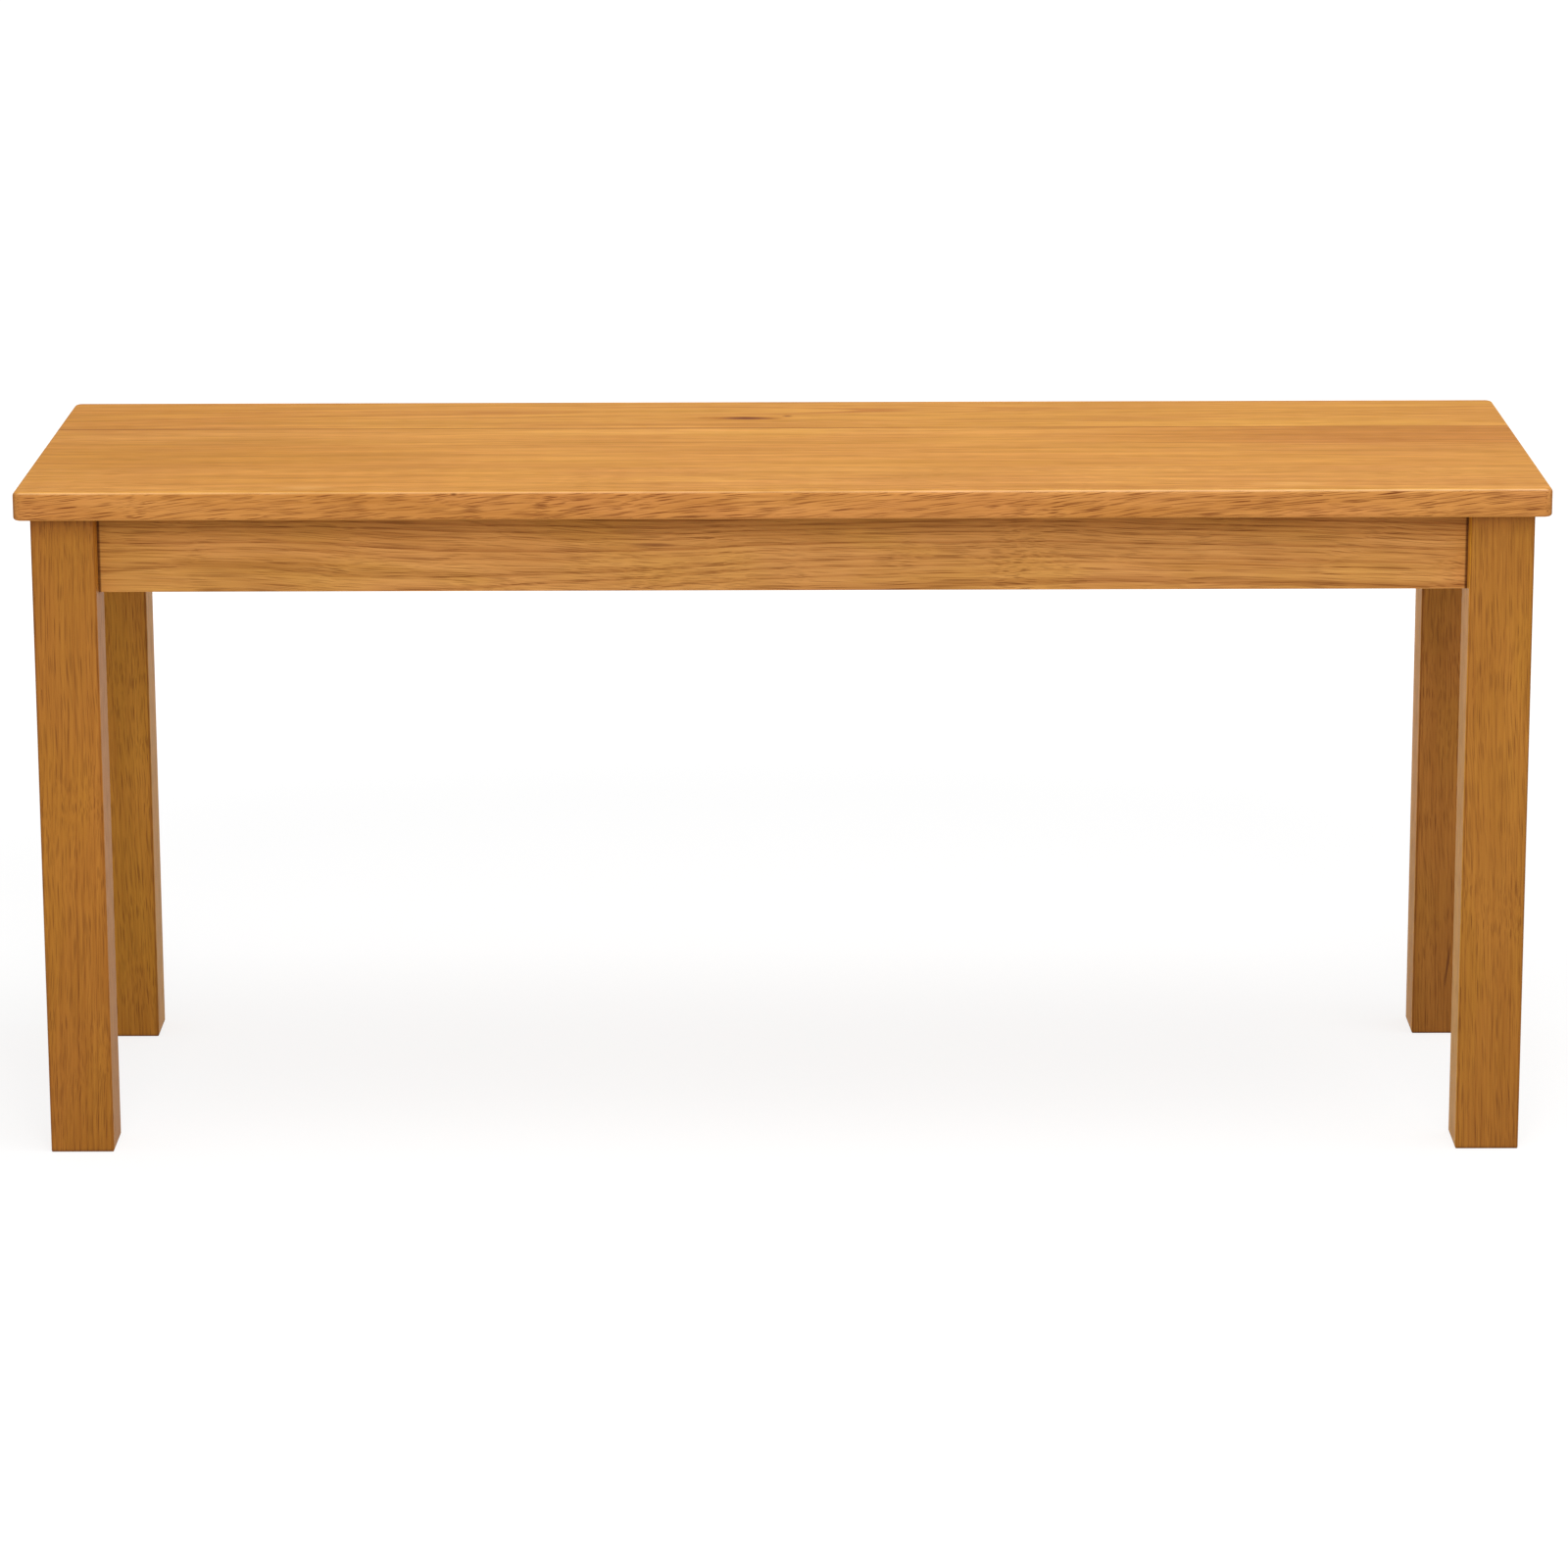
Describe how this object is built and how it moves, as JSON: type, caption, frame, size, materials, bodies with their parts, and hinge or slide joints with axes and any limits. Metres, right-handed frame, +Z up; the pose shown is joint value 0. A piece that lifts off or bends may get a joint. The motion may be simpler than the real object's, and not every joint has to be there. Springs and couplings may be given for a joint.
{
  "type": "dining bench",
  "caption": "Backless dining bench: a thin edge-glued oak seat with eased arrises on square legs and low recessed aprons.",
  "frame": {"origin": "on the floor, under the middle of the seat", "axes": "+X along the bench to its right end as seen from the front, -Y towards the front, +Z up"},
  "size_m": [1, 0.34, 0.45],
  "materials": {
    "seat_oak": "satin lacquered oak, golden",
    "frame_oak": "satin lacquered oak, golden brown",
    "beech": "bare planed beech",
    "zinc_steel": "zinc-plated steel"
  },
  "bodies": {
    "root": {"seat_board_front": "seat_oak", "seat_board_front_inner": "seat_oak", "seat_board_rear_inner": "seat_oak", "seat_board_rear": "seat_oak", "leg_front_left": "frame_oak", "leg_front_right": "frame_oak", "leg_rear_left": "frame_oak", "leg_rear_right": "frame_oak", "apron_front": "frame_oak", "apron_rear": "frame_oak", "apron_left": "frame_oak", "apron_right": "frame_oak", "centre_rail": "frame_oak", "corner_block_front_left": "beech", "corner_block_front_right": "beech", "corner_block_rear_left": "beech", "corner_block_rear_right": "beech", "button_front_1": "beech", "button_front_2": "beech", "button_front_3": "beech", "button_front_4": "beech", "button_rear_1": "beech", "button_rear_2": "beech", "button_rear_3": "beech", "button_rear_4": "beech", "button_left": "beech", "button_right": "beech", "button_screws": "zinc_steel", "rail_screws": "zinc_steel", "block_screws": "zinc_steel"}
  },
  "joints": []
}
